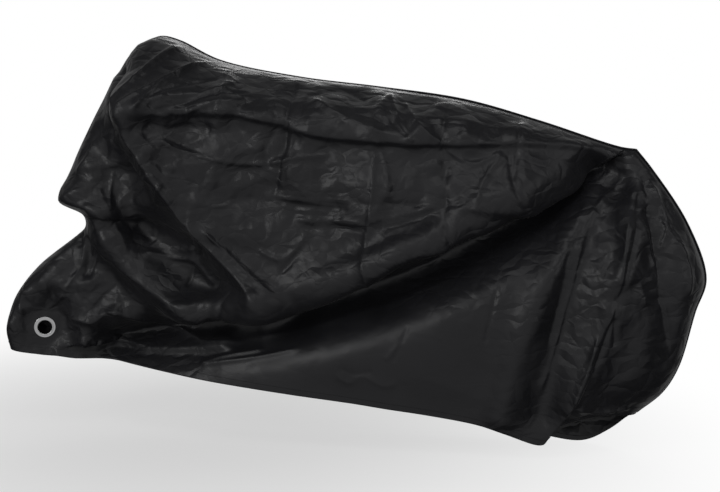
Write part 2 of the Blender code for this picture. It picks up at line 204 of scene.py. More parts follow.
# Creases on top of the folds: kind, height, half width, path of (x, z). A ridge or valley is
# even on both sides. A lap stands proud on the left of its path and drops off at the line. A
# fold or dip is a broad bend, outwards or inwards, with a sharp line. A lip is the edge of a
# cloth roll: it swells over its half width on the left of the path and drops off at the line.
LIP_DROP = 0.006         # distance over which a lip drops off
LAP_DROP, LAP_REACH = 0.30, 3.0     # a lap's drop and swell, in half widths
CREASE_SIZE = 0.95       # ridges and valleys get this share of their height
CREASE_WIDTH = 0.70      # and this share of their half width
CREASE_POWER = 1.25      # between a sharp line (1) and a soft one (2)
CREASE_FADE = 0.12       # share of its length over which a crease fades at each end
LEFT_CREASES = metres([
    ("lip", 12, 35,
     [(-556, 928), (-454, 920), (-353, 923), (-259, 920), (-166, 902), (-74, 873), (11, 857),
      (109, 850), (306, 840), (523, 842), (694, 830), (776, 815)]),
    ("ridge", 12, 13,
     [(-580, 912), (-492, 797), (-449, 731), (-393, 638), (-324, 567), (-230, 473), (-157, 398)]),
    ("ridge", 10, 10, [(-344, 622), (-244, 522), (-142, 440)]),
    ("lip", 60, 38,
     [(-510, 335), (-365, 375), (-155, 400), (-30, 445), (110, 505), (200, 555), (305, 595),
      (465, 670), (615, 745), (750, 805)]),
    ("ridge", 3, 12, [(-276, 289), (-75, 331), (65, 378), (282, 462), (516, 614)]),
    ("valley", 14, 14, [(-607, 1076), (-610, 965), (-611, 839)]),
    ("ridge", 10, 14, [(-455, 1125), (-524, 1032), (-574, 942)]),
    ("ridge", 8, 10, [(-350, 1079), (-452, 1018), (-556, 942)]),
    ("ridge", 8, 12, [(797, 780), (693, 647), (643, 450), (606, 294), (563, 159)]),
    ("valley", 9, 12, [(818, 755), (816, 650), (768, 430), (708, 235)]),
    ("valley", 10, 12, [(825, 789), (861, 574), (875, 474), (914, 275)]),
    ("ridge", 8, 11, [(843, 755), (892, 636), (872, 556)]),
    ("ridge", 7, 10, [(871, 664), (951, 522), (954, 442)]),
    ("valley", 4, 8, [(457, 473), (442, 388), (427, 312)]),
    ("valley", 3, 7, [(224, 363), (181, 257)]),
    ("valley", 4, 8, [(-299, 1070), (-302, 896)]),
    ("valley", 4, 8, [(-104, 1029), (-116, 856), (-151, 694)]),
    ("ridge", 3.5, 8, [(125, 844), (125, 725), (109, 592), (93, 469)]),
    ("valley", 4, 8, [(307, 962), (308, 832), (320, 702), (308, 556)]),
    ("valley", 4, 8, [(498, 936), (500, 834), (489, 705)]),
    ("valley", 5, 8, [(-497, 964), (-365, 1009), (-300, 1017)]),
    ("valley", 5, 8, [(-468, 931), (-338, 966), (-210, 984)]),
    ("ridge", 4, 8, [(-156, 802), (11, 817)]),
    ("valley", 4, 9, [(-157, 708), (93, 685), (307, 689)]),
    ("lap", 6, 14, [(307, 670), (538, 703), (703, 756)]),
    ("lap", 10, 16, [(308, 556), (318, 636), (347, 663), (538, 703)]),
    # Bulge over the lamp, and the band that hangs from it
    ("lap", 7, 14, [(-745, 760), (-635, 775), (-575, 785), (-520, 795)]),
    ("ridge", 6, 10, [(-620, 765), (-630, 715), (-630, 655)]),
    ("ridge", 6, 10, [(-500, 770), (-570, 715), (-615, 670)]),
    ("ridge", 6, 10, [(-470, 770), (-515, 725), (-560, 680)]),
    ("ridge", 9, 10, [(-440, 740), (-460, 705), (-480, 675)]),
    ("ridge", 8, 14, [(-780, 690), (-730, 675), (-670, 660), (-615, 605), (-575, 535)]),
    ("valley", 8, 14, [(-570, 615), (-535, 580), (-520, 560)]),
    ("ridge", 8, 18,
     [(-725, 600), (-680, 560), (-640, 520), (-530, 450), (-430, 390), (-335, 355)]),
    ("ridge", 10, 12, [(-550, 540), (-455, 520), (-400, 515), (-325, 440)]),
    ("valley", 6, 10, [(-325, 435), (-315, 465), (-215, 440)]),
    ("valley", 6, 7, [(-400, 510), (-415, 440)]),
    ("valley", 6, 7, [(-260, 445), (-310, 365)]),
    ("valley", 10, 9, [(-395, 560), (-390, 535), (-370, 530), (-350, 570)]),
    # Gathers under the neck, and the front wheel's crumples
    ("valley", 7, 8, [(-740, 590), (-740, 545)]),
    ("valley", 8, 9, [(-705, 585), (-710, 515), (-720, 455)]),
    ("valley", 7, 9, [(-675, 550), (-695, 505), (-710, 455)]),
    ("ridge", 7, 12, [(-720, 590), (-730, 500), (-775, 420)]),
    ("ridge", 11, 14,
     [(-820, 330), (-795, 350), (-700, 335), (-645, 365), (-555, 335), (-505, 315), (-375, 270),
      (-235, 290)]),
    ("lap", 14, 14,
     [(-730, 225), (-690, 245), (-625, 245), (-570, 235), (-420, 245), (-265, 260)]),
    ("ridge", 8, 9, [(-390, 220), (-305, 245), (-185, 275)]),
    ("ridge", 7, 9, [(-390, 215), (-220, 250), (-75, 285)]),
    ("valley", 6, 9, [(-650, 305), (-690, 290), (-725, 260)]),
    ("ridge", 5, 10, [(-860, 340), (-825, 375), (-775, 420)]),
    ("ridge", 5, 10, [(-900, 340), (-910, 380), (-890, 425)]),
    ("valley", 6, 9, [(-815, 285), (-780, 295), (-735, 310)]),
    # Roll and peak
    ("valley", 10, 16, [(-480, 905), (-435, 885), (-375, 890), (-310, 885)]),
    ("ridge", 8, 12, [(-475, 865), (-395, 830), (-295, 800), (-185, 790), (-75, 810)]),
    ("ridge", 7, 10, [(-500, 880), (-465, 830), (-410, 765)]),
    ("ridge", 8, 10, [(-435, 1125), (-495, 1065), (-535, 1005)]),
    ("ridge", 9, 10, [(-510, 930), (-445, 1010), (-380, 1065)]),
    ("lap", 7, 10, [(-470, 960), (-390, 970), (-285, 990), (-255, 1020)]),
    ("valley", 6, 9, [(-470, 955), (-435, 930), (-405, 920)]),
    ("lap", 6, 10, [(-380, 925), (-320, 945), (-245, 955), (-200, 970)]),
    ("valley", 6, 10, [(-65, 975), (15, 995), (100, 960)]),
    ("ridge", 6, 12, [(-65, 970), (45, 915), (165, 870)]),
    ("ridge", 6, 10, [(145, 985), (205, 885), (235, 850)]),
    ("valley", 5, 8, [(165, 910), (215, 865)]),
    ("ridge", 6, 10, [(190, 965), (230, 905), (310, 845)]),
    # Side panel
    ("ridge", 6, 10, [(130, 870), (160, 780), (170, 700)]),
    ("ridge", 6, 12, [(310, 835), (385, 795), (465, 830)]),
    ("ridge", 6, 12, [(465, 830), (415, 745), (390, 665)]),
    ("valley", 6, 9, [(475, 830), (495, 730), (505, 695)]),
    ("ridge", 6, 10, [(-95, 885), (-105, 830), (-130, 775)]),
    ("valley", 6, 12, [(-135, 890), (-170, 830), (-155, 775)]),
    ("ridge", 6, 9, [(-150, 705), (-65, 695), (55, 690), (110, 675)]),
    ("valley", 6, 9, [(-145, 690), (-40, 675), (70, 670)]),
    ("ridge", 6, 8, [(-95, 640), (15, 640), (110, 635)]),
    ("valley", 6, 8, [(-70, 620), (40, 620), (125, 615)]),
    ("ridge", 5, 9, [(110, 640), (205, 660), (310, 690)]),
    ("valley", 5, 9, [(120, 615), (230, 645), (300, 675)]),
    ("ridge", 8, 9, [(310, 600), (340, 645), (370, 665)]),
    ("valley", 8, 9, [(325, 570), (360, 625), (385, 640)]),
    ("ridge", 7, 12, [(-195, 560), (-125, 535), (-70, 575), (-60, 610)]),
    ("valley", 7, 12, [(-130, 495), (-95, 530), (-55, 590)]),
    # Lower panel and rear
    ("ridge", 3, 14, [(20, 225), (60, 200), (100, 220), (160, 195), (200, 210)]),
    ("valley", 3, 14, [(30, 240), (75, 225), (130, 235)]),
    ("ridge", 3, 10, [(160, 265), (210, 320)]),
    ("valley", 5, 12, [(645, 445), (625, 340), (585, 230)]),
    ("valley", 7, 10, [(690, 655), (645, 560), (625, 450), (590, 305)]),
    ("ridge", 7, 11, [(795, 665), (770, 440), (740, 360)]),
    ("valley", 7, 10, [(765, 400), (765, 320)]),
    ("ridge", 7, 12, [(725, 355), (700, 260), (660, 150)]),
    ("ridge", 8, 12, [(810, 690), (850, 570), (885, 440), (915, 280)]),
    ("ridge", 6, 12, [(850, 740), (905, 635), (950, 540)]),
    ("ridge", 5, 7, [(790, 715), (830, 720), (840, 685), (810, 675)]),
    ("ridge", 6, 12, [(670, 145), (730, 130), (815, 135)]),
    # Fold lines from the package: each bends the cloth, one outwards and the next inwards
    ("fold", 7, 90, [(-299, 1080), (-302, 896), (-310, 700)]),
    ("dip", 7, 90, [(-104, 1030), (-116, 856), (-151, 694)]),
    ("fold", 7, 90, [(125, 1000), (125, 844), (125, 725), (93, 469)]),
    ("dip", 7, 90, [(307, 965), (308, 832), (320, 702), (308, 540)]),
    ("fold", 7, 80, [(500, 920), (520, 800), (530, 680)]),
    ("dip", 7, 70, [(-350, 700), (0, 690), (310, 690), (540, 705)]),
    ("fold", 6, 60, [(-450, 1010), (-100, 960), (300, 910), (600, 870)]),
])
RIGHT_CREASES = metres([
    ("lap", -12, 20, [(-600, 915), (-300, 905), (-50, 860), (300, 830), (550, 815), (740, 790)]),
    ("ridge", 10, 13, [(-640, 920), (-500, 730), (-360, 560), (-240, 430)]),
    ("ridge", 8, 13, [(797, 770), (720, 600), (660, 380), (600, 140)]),
    ("valley", 8, 13, [(820, 740), (830, 560), (800, 330)]),
    ("valley", 4, 8, [(-299, 1060), (-302, 596), (-310, 350)]),
    ("valley", 4, 8, [(-104, 1019), (-106, 656), (-100, 394)]),
    ("valley", 4, 8, [(125, 970), (125, 725), (119, 500)]),
    ("valley", 4, 8, [(307, 950), (308, 832), (320, 602)]),
    ("valley", 4, 8, [(-560, 720), (-157, 708), (307, 689), (560, 710)]),
])

# Crumpled areas: name, centre x and z, half width and half height, facet size, height, seed.
# The facets' corners lie on a grid a little larger than the area, each moved off its place.
CRUMPLE_REACH = 1.1
CRUMPLE_SCATTER = 0.8
LEFT_CRUMPLES = [
    ("overall", 0.0, 0.60, 1.10, 0.65, 0.110, 0.0050, 11),
    ("upper panel", 0.0, 0.82, 0.80, 0.30, 0.080, 0.0120, 12),
    ("upper panel, small", 0.0, 0.80, 0.75, 0.28, 0.036, 0.0042, 17),
    ("crumple behind the ridge", -0.15, 0.70, 0.28, 0.14, 0.026, 0.0036, 13),
    ("lamp bulge", -0.66, 0.66, 0.24, 0.26, 0.040, 0.0030, 14),
    ("front wheel", -0.78, 0.36, 0.28, 0.18, 0.050, 0.0130, 15),
    ("front wheel, small", -0.78, 0.36, 0.28, 0.18, 0.026, 0.0040, 30),
    ("tail", 0.80, 0.62, 0.24, 0.30, 0.050, 0.0090, 16),
    ("tail, small", 0.80, 0.62, 0.24, 0.30, 0.026, 0.0030, 31),
    ("peak", -0.48, 1.00, 0.26, 0.20, 0.065, 0.0100, 19),
]
RIGHT_CRUMPLES = [
    ("overall", 0.0, 0.60, 1.10, 0.65, 0.110, 0.0060, 21),
    ("upper panel", 0.0, 0.78, 0.80, 0.34, 0.080, 0.0110, 22),
    ("upper panel, small", 0.0, 0.76, 0.75, 0.30, 0.036, 0.0036, 23),
    ("lamp bulge", -0.66, 0.66, 0.24, 0.26, 0.060, 0.0150, 24),
    ("front wheel", -0.80, 0.36, 0.24, 0.18, 0.050, 0.0090, 25),
    ("tail", 0.80, 0.62, 0.24, 0.30, 0.050, 0.0090, 26),
]

# Corners of the large flat facets over the lamp: x, z and height
LAMP_FACETS = metres([
    (-625, 765, 2), (-635, 655, 30), (-535, 755, -26), (-580, 675, 8), (-500, 765, 12),
    (-515, 715, -15), (-460, 735, 12), (-500, 670, -6), (-565, 790, -9), (-685, 855, 0),
    (-735, 760, 0), (-665, 725, 9), (-770, 690, 0), (-555, 620, -12), (-595, 605, 0),
    (-510, 580, -12), (-560, 540, 0), (-430, 645, -6), (-385, 550, -9), (-620, 880, 6),
    (-485, 825, 0), (-410, 755, 0), (-370, 690, 0), (-695, 795, 12), (-715, 640, 0),
    (-670, 600, 0),
])
# The lower panel stays smooth: centre, and half sizes in x and z
SMOOTH_CENTRE, SMOOTH_HALF = (0.08, 0.24), (0.62, 0.26)
SMOOTH_SHARE = 0.85      # this share of the finish's crinkles is taken away there

SIDES = {
    "left": {"outward": -1.0, "hem": LEFT_HEM, "widths": LEFT_WIDTHS, "folds": LEFT_FOLDS,
             "creases": LEFT_CREASES, "crumples": LEFT_CRUMPLES, "cells": (430, 205)},
    "right": {"outward": 1.0, "hem": RIGHT_HEM, "widths": RIGHT_WIDTHS, "folds": RIGHT_FOLDS,
              "creases": RIGHT_CREASES, "crumples": RIGHT_CRUMPLES, "cells": (330, 150)},
}


# ---------------------------------------------------------------- shapes of the cloth

def smooth_path(points, steps=60):
    """Centripetal Catmull-Rom curve through the points, as an array of rows."""
    points = np.array(points, float)
    knots = np.vstack([2 * points[0] - points[1], points, 2 * points[-1] - points[-2]])
    rows = []
    for i in range(1, len(knots) - 2):
        p = knots[i - 1:i + 3]
        gaps = np.maximum(np.linalg.norm(np.diff(p, axis=0), axis=1) ** 0.5, 1e-6)
        t = np.concatenate([[0.0], np.cumsum(gaps)])
        s = (t[1] + (t[2] - t[1]) * np.arange(steps) / steps)[:, None]
        a = [(p[k] * (t[k + 1] - s) + p[k + 1] * (s - t[k])) / (t[k + 1] - t[k])
             for k in range(3)]
        b = [(a[k] * (t[k + 2] - s) + a[k + 1] * (s - t[k])) / (t[k + 2] - t[k])
             for k in range(2)]
        rows.append((b[0] * (t[2] - s) + b[1] * (s - t[1])) / (t[2] - t[1]))
    return np.vstack(rows + [points[-1:]])


def along(path, fractions):
    """Points at the given fractions of a path's length."""
    lengths = np.concatenate([[0.0], np.cumsum(np.linalg.norm(np.diff(path, axis=0), axis=1))])
    lengths /= lengths[-1]
    return np.column_stack([np.interp(fractions, lengths, path[:, k]) for k in range(path.shape[1])])


def crowded(cells, amount):
    """Grid positions from 0 to 1, closer together at both ends."""
    t = np.linspace(0.0, 1.0, cells + 1)
    return t - amount * np.sin(2 * np.pi * t) / (2 * np.pi)


def ease(t):
    """0 to 1 with level ends."""
    t = np.clip(t, 0.0, 1.0)
    return t * t * (3 - 2 * t)


def reach_of(path, x, z):
    """Distance from a path of (x, z), positive on its left, and the share along it."""
    run = np.diff(path, axis=0)
    lengths = np.linalg.norm(run, axis=1)
    before = np.concatenate([[0.0], np.cumsum(lengths)])
    best = np.full(x.shape, np.inf)
    side = np.ones(x.shape)
    share = np.zeros(x.shape)
    for (px, pz), (dx, dz), length, start in zip(path[:-1], run, lengths, before):
        t = np.clip(((x - px) * dx + (z - pz) * dz) / (length * length + 1e-12), 0.0, 1.0)
        away = np.hypot(x - px - t * dx, z - pz - t * dz)
        nearer = away < best
        best = np.where(nearer, away, best)
        side = np.where(nearer, np.sign(dx * (z - pz) - dz * (x - px)), side)
        share = np.where(nearer, (start + t * length) / before[-1], share)
    return best, side, share


def width_surface(rows, u, v):
    """Widths between the rows and levels of a table, eased so that no kink shows."""
    table = np.array(rows)
    fine_u = np.linspace(0.0, 1.0, 301)
    fine_v = np.linspace(0.0, 1.0, 181)
    by_level = np.array([np.interp(fine_u, table[:, 0], level) for level in table[:, 1:].T])
    grid = np.array([np.interp(fine_v, WIDTH_LEVELS, column) for column in by_level.T])
    for _ in range(EASE_PASSES):
        padded = np.pad(grid, 1, mode="edge")
        grid = (padded[:-2, 1:-1] + padded[2:, 1:-1] + padded[1:-1, :-2] + padded[1:-1, 2:]) / 4
    at_v = np.array([np.interp(v, fine_v, row) for row in grid])
    return np.array([np.interp(u, fine_u, at_v[:, j]) for j in range(len(v))]).T


def flat_facets(x, z, nodes):
    """Heights of flat triangles stretched between nodes of (x, z, height); 0 outside them."""
    nodes = np.array(nodes)
    corners, _, triangles, origins, _, _ = delaunay_2d_cdt(
        [Vector(node[:2]) for node in nodes], [], [], 0, 1e-9)
    corners = np.array([tuple(c) for c in corners])
    heights = np.array([nodes[o[0], 2] for o in origins])
    flat_x, flat_z = x.ravel(), z.ravel()
    field = np.zeros(x.size)
    order = np.argsort(flat_x)
    sorted_x = flat_x[order]
    for triangle in triangles:
        (ax, az), (bx, bz), (cx, cz) = corners[list(triangle)]
        area = (bz - cz) * (ax - cx) + (cx - bx) * (az - cz)
        if abs(area) < 1e-12:
            continue
        first, last = np.searchsorted(sorted_x, [min(ax, bx, cx), max(ax, bx, cx)])
        some = order[first:last]
        px, pz = flat_x[some], flat_z[some]
        s = ((bz - cz) * (px - cx) + (cx - bx) * (pz - cz)) / area
        t = ((cz - az) * (px - cx) + (ax - cx) * (pz - cz)) / area
        r = 1 - s - t
        hit = (s >= -1e-9) & (t >= -1e-9) & (r >= -1e-9)
        ha, hb, hc = heights[list(triangle)]
        field[some[hit]] = (s * ha + t * hb + r * hc)[hit]
    return field.reshape(x.shape)


def inside_oval(x, z, centre, half):
    """1 in the middle half of an oval, fading to 0 at its edge."""
    return ease(2.0 * (1 - np.hypot((x - centre[0]) / half[0], (z - centre[1]) / half[1])))


def crumpled(x, z, centre, half, size, seed):
    """Crumpled cloth: random heights from -1 to 1 joined by flat triangles, fading outwards."""
    random = np.random.default_rng(seed)
    counts = [max(3, int(2 * CRUMPLE_REACH * h / size)) for h in half]
    gx, gz = np.meshgrid(*[np.linspace(-CRUMPLE_REACH, CRUMPLE_REACH, n) for n in counts],
                         indexing="ij")
    gx, gz = [centre[k] + half[k] * (g + random.uniform(-CRUMPLE_SCATTER, CRUMPLE_SCATTER,
                                                        g.shape) / counts[k])
              for k, g in enumerate((gx, gz))]
    heights = random.uniform(-1.0, 1.0, gx.shape)
    nodes = np.stack([gx, gz, heights], axis=-1).reshape(-1, 3)
    return flat_facets(x, z, nodes) * inside_oval(x, z, centre, half)


def crease_height(x, z, creases):
    """Height that creases add. Their kinds are described above the tables."""
    height = np.zeros(x.shape)
    for kind, size, half_width, path in creases:
        away, side, share = reach_of(smooth_path(path, 8), x, z)
        ends = ease(share / CREASE_FADE) * ease((1 - share) / CREASE_FADE)
        if kind in ("fold", "dip"):
            bend = np.maximum(1 - away / half_width, 0.0) ** 2
            height += (size if kind == "fold" else -size) * ends * bend
        elif kind == "lip":
            step = 0.5 * (1 + np.tanh(side * away / LIP_DROP))
            height += size * ends * step * np.exp(-(away / half_width) ** 2)
        elif kind == "lap":
            step = 0.5 * (1 + np.tanh(side * away / (LAP_DROP * half_width)))
            height += size * ends * step * np.exp(-(away / (LAP_REACH * half_width)) ** 2)
        else:
            sign = CREASE_SIZE if kind == "ridge" else -CREASE_SIZE
            falloff = (away / (CREASE_WIDTH * half_width)) ** CREASE_POWER
            height += sign * size * ends * np.exp(-falloff)
    return height


def surface_normals(points, outward):
    """Unit normals of a grid of points that face out of the cover."""
    normal = np.cross(np.gradient(points, axis=0), np.gradient(points, axis=1))
    normal /= np.linalg.norm(normal, axis=-1, keepdims=True) + 1e-12
    middle = normal[normal.shape[0] // 2, normal.shape[1] // 2, 1]
    return normal * np.sign(outward * middle)


def panel_surface(side):
    """Outer face of one panel as a grid of points (along, down, xyz), in making sizes."""
    facts = SIDES[side]
    outward = facts["outward"]
    u = crowded(facts["cells"][0], CROWD_LONG)
    v = crowded(facts["cells"][1], CROWD_HIGH)
    top = along(smooth_path(SPINE_SEAM), u)
    front = along(smooth_path(FRONT_SEAM), v)
    rear = along(smooth_path(REAR_SEAM), v)
    bottom = along(smooth_path(facts["hem"]), u)
    uu, vv = np.meshgrid(u, v, indexing="ij")

    def patch(top_row, bottom_row, front_row, rear_row):
        """Surface stretched between four edges."""
        between = (1 - vv) * top_row[:, None] + vv * bottom_row[:, None]
        across = (1 - uu) * front_row[None, :] + uu * rear_row[None, :]
        corners = ((1 - uu) * ((1 - vv) * top_row[0] + vv * bottom_row[0])
                   + uu * ((1 - vv) * top_row[-1] + vv * bottom_row[-1]))
        return between + across - corners

    x = patch(top[:, 0], bottom[:, 0], front[:, 0], rear[:, 0])
    z = patch(top[:, 2], bottom[:, 1], front[:, 2], rear[:, 2])
    seam_y = (1 - uu) ** FRONT_TWIST * front[None, :, 1]

    seam = np.vstack([smooth_path(FRONT_SEAM, 12)[::-1], smooth_path(SPINE_SEAM, 12),
                      smooth_path(REAR_SEAM, 12)])[:, [0, 2]]
    from_seam = reach_of(seam, x, z)[0]
    fin = FIN_HEIGHT * ease((x - FIN_START) / FIN_RUN) * ease((1 - vv) / FIN_DEPTH)
    from_fin = np.maximum(from_seam - fin, 0.0)
    rounding = np.sqrt(1 - (1 - np.minimum(from_fin / EDGE_ROUND, 1.0)) ** 2)
    width = width_surface(facts["widths"], u, v) * rounding
    for _, height, half_width, path in facts["folds"]:
        away, above, _ = reach_of(smooth_path(path, 10), x, z)
        if isinstance(half_width, tuple):
            half_width = np.where(above > 0, *half_width)
        width = width + height * np.exp(-(away / half_width) ** 2) * rounding
    y = seam_y + outward * (width + SEAM_GAP / 2)

    cx, cy, cz = EYELET_PLACES[side]
    from_eyelet = np.hypot(x - cx, z - cz)
    plane = cy + (x - cx) * math.tan(EYELET_TURN)
    share = ease((EYELET_BLEND - from_eyelet) / (EYELET_BLEND - EYELET_FLAT))
    share[0, :] = 0.0
    y = y + (plane - y) * share
    points = np.stack([x, y, z], axis=-1)

    relief = crease_height(x, z, facts["creases"])
    for _, cx, cz, half_x, half_z, size, height, seed in facts["crumples"]:
        relief += height * crumpled(x, z, (cx, cz), (half_x, half_z), size, seed)
    if side == "left":
        relief += flat_facets(x, z, LAMP_FACETS)
    relief = relief * ease(from_fin / SEAM_CALM) * ease(from_eyelet / EYELET_FLAT - 1.0)
    return points + surface_normals(points, outward) * relief[..., None]


def shift_to_mount():
    """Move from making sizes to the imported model's frame."""
    mounts = {mount["name"]: mount for mount in frame["record"]["mounts"]}
    return np.array(mounts["under_top"]["pos_m"]) - np.array(HELD_AT)


SHIFT = shift_to_mount()


def grid_quads(index):
    """Quads between the neighbours in a grid of point numbers."""
    return np.stack([index[:-1, :-1], index[:-1, 1:], index[1:, 1:], index[1:, :-1]],
                    axis=-1).reshape(-1, 4)


def ring_index(rings, count, first=0):
    """Point numbers of rings with count points each, where every ring closes on itself."""
    index = first + np.arange(rings * count).reshape(rings, count)
    return np.hstack([index, index[:, :1]])


def smooth_mesh(name, verts, faces):
    """A mesh from points in making sizes, with smooth shading."""
    mesh = bpy.data.meshes.new(name)
    mesh.from_pydata((np.array(verts) + SHIFT).tolist(), [], faces)
    mesh.update()
    mesh.polygons.foreach_set("use_smooth", [True] * len(mesh.polygons))
    return mesh


def panel_mesh(side):
    """One panel as a thin sheet with its hem turned in and the eyelet's hole."""
    points = panel_surface(side)
    normal = surface_normals(points, SIDES[side]["outward"])
    points = points - CLOTH_MIDDLE * normal
    # The hem's turned strip goes back up inside, over the rows that its width covers.
    high = np.linalg.norm(points[:, -1] - points[:, -1 - HEM_ROWS], axis=-1).mean()
    rows = int(round(HEM_TURN / (high / HEM_ROWS)))
    strip = [points[:, -1 - k] - HEM_THICK * normal[:, -1 - k] for k in range(rows)]
    grid = np.concatenate([points] + [row[:, None] for row in strip], axis=1)
    long_count, high_count = grid.shape[:2]
    verts = grid.reshape(-1, 3)
    quads = grid_quads(np.arange(long_count * high_count).reshape(long_count, high_count))
    if side == "right":
        quads = quads[:, ::-1]
    cx, cy, cz = EYELET_PLACES[side]
    centres = verts[quads].mean(axis=1)
    from_hole = np.hypot(np.hypot(centres[:, 0] - cx, centres[:, 1] - cy), centres[:, 2] - cz)
    gone = (from_hole < HOLE_IN_CLOTH) & (abs(centres[:, 1] - cy) < HOLE_DEPTH)
    rim = np.intersect1d(quads[gone], quads[~gone])
    quads = quads[~gone]
    hole_centre = np.array([cx, cy, cz]) - CLOTH_MIDDLE * eyelet_axis(side)
    offset = verts[rim] - hole_centre
    offset *= HOLE_IN_CLOTH / np.linalg.norm(offset, axis=1, keepdims=True)
    verts[rim] = hole_centre + offset
    used = np.unique(quads)
    lookup = np.zeros(len(verts), int)
    lookup[used] = np.arange(len(used))
    mesh = smooth_mesh("cloth_" + side, verts[used], lookup[quads].tolist())
    calm = inside_oval(verts[used, 0], verts[used, 2], SMOOTH_CENTRE, SMOOTH_HALF)
    crinkled = mesh.attributes.new("crinkled", "FLOAT", "POINT")
    crinkled.data.foreach_set("value", 1.0 - SMOOTH_SHARE * calm)
    return mesh, points


def eyelet_axis(side):
    """Outward direction of an eyelet."""
    facing = np.array([math.sin(EYELET_TURN), -math.cos(EYELET_TURN), 0.0])
    return facing if side == "left" else -facing


# ---------------------------------------------------------------- finishes

def hex_colour(code):
    """sRGB hex to the linear values that shaders take."""
    parts = [int(code[k:k + 2], 16) / 255 for k in (1, 3, 5)]
    linear = [c / 12.92 if c <= 0.04045 else ((c + 0.055) / 1.055) ** 2.4 for c in parts]
    return (*linear, 1.0)


def add_node(material, kind, settings=None, inputs=None):
    """Add one node. Inputs take a value, or a socket to link from."""
    tree = material.node_tree
    node = tree.nodes.new(kind)
    for name, value in (settings or {}).items():
        setattr(node, name, value)
    for name, value in (inputs or {}).items():
        socket = node.inputs[name]
        if isinstance(value, bpy.types.NodeSocket):
            tree.links.new(value, socket)
        else:
            socket.default_value = value
    return node


def new_material(name):
    """An empty node material and its output."""
    material = bpy.data.materials.new(name)
    material.use_nodes = True
    material.node_tree.nodes.clear()
    return material, add_node(material, "ShaderNodeOutputMaterial")


def principled(material, output, inputs):
    """Give a material its one principled shader."""
    shader = add_node(material, "ShaderNodeBsdfPrincipled", None, inputs)
    material.node_tree.links.new(shader.outputs["BSDF"], output.inputs["Surface"])
    return material


CRINKLE_WIDTH = 0.050
THREAD_PITCH = 0.0012    # wider than real threads, so that they show
# Heights of the taffeta's relief
CELL_BUMP = 0.0060
CREASE_BUMP = 0.0028
WEAVE_BUMP = 0.0001


def coated_taffeta():
    """Black polyester taffeta, woven and coated with polyurethane on one face.

    The coating gives a soft satin gloss that breaks up over small flat crinkles, with faint
    darker and lighter patches where the cloth has been folded. The lower panel is calmer.
    """
    material, output = new_material("black_coated_taffeta")
    place = add_node(material, "ShaderNodeTexCoord").outputs["Object"]
    crinkled = add_node(material, "ShaderNodeAttribute", {"attribute_name": "crinkled"})
    patches = add_node(material, "ShaderNodeTexNoise", None,
                       {"Vector": place, "Scale": 7.0, "Detail": 4.0, "Roughness": 0.6})
    colour = add_node(material, "ShaderNodeValToRGB", None, {"Fac": patches.outputs["Fac"]})
    colour.color_ramp.elements[0].position = 0.30
    colour.color_ramp.elements[0].color = hex_colour("#1b1b1e")
    colour.color_ramp.elements[1].position = 0.75
    colour.color_ramp.elements[1].color = hex_colour("#232326")
    rough = add_node(material, "ShaderNodeMapRange", None,
                     {"Value": patches.outputs["Fac"], "From Min": 0.3, "From Max": 0.7,
                      "To Min": 0.33, "To Max": 0.45})

    # Crinkles: flat-sided cells, longer along the cover than across it, and pulled out of line
    # by a slow wander.
    wander = add_node(material, "ShaderNodeTexNoise", None,
                      {"Vector": place, "Scale": 12.0, "Detail": 2.0})
    shift = add_node(material, "ShaderNodeVectorMath", {"operation": "MULTIPLY_ADD"},
                     {"Vector": wander.outputs["Color"]})
    shift.inputs[1].default_value = (0.08, 0.08, 0.08)
    material.node_tree.links.new(place, shift.inputs[2])
    stretch = add_node(material, "ShaderNodeVectorMath", {"operation": "MULTIPLY"},
                       {"Vector": shift.outputs["Vector"]})
    stretch.inputs[1].default_value = (0.6, 1.0, 1.1)
    cells = add_node(material, "ShaderNodeTexVoronoi", {"feature": "DISTANCE_TO_EDGE"},
                     {"Vector": stretch.outputs["Vector"], "Scale": 1 / CRINKLE_WIDTH})
    creased = add_node(material, "ShaderNodeTexNoise", {"noise_type": "RIDGED_MULTIFRACTAL"},
                       {"Vector": place, "Scale": 14.0, "Detail": 4.0, "Roughness": 0.6,
                        "Lacunarity": 2.1})
    # Threads of the weave
    threads = [add_node(material, "ShaderNodeTexWave", {"bands_direction": direction},
                        {"Vector": place, "Scale": 2 * math.pi / (20 * THREAD_PITCH),
                         "Distortion": 0.6}) for direction in ("X", "Z")]
    weave = add_node(material, "ShaderNodeMath", {"operation": "MULTIPLY"})
    for thread, socket in zip(threads, weave.inputs):
        material.node_tree.links.new(thread.outputs["Fac"], socket)
    bump = None
    for height, strength, distance in (
            (cells.outputs["Distance"], crinkled.outputs["Fac"], CELL_BUMP),
            (creased.outputs["Fac"], crinkled.outputs["Fac"], CREASE_BUMP),
            (weave.outputs["Value"], 0.15, WEAVE_BUMP)):
        inputs = {"Height": height, "Strength": strength, "Distance": distance}
        if bump is not None:
            inputs["Normal"] = bump.outputs["Normal"]
        bump = add_node(material, "ShaderNodeBump", None, inputs)
    return principled(material, output, {
        "Base Color": colour.outputs["Color"], "Roughness": rough.outputs["Result"],
        "IOR": 1.45, "Normal": bump.outputs["Normal"], "Sheen Weight": 0.05,
        "Sheen Roughness": 0.4})


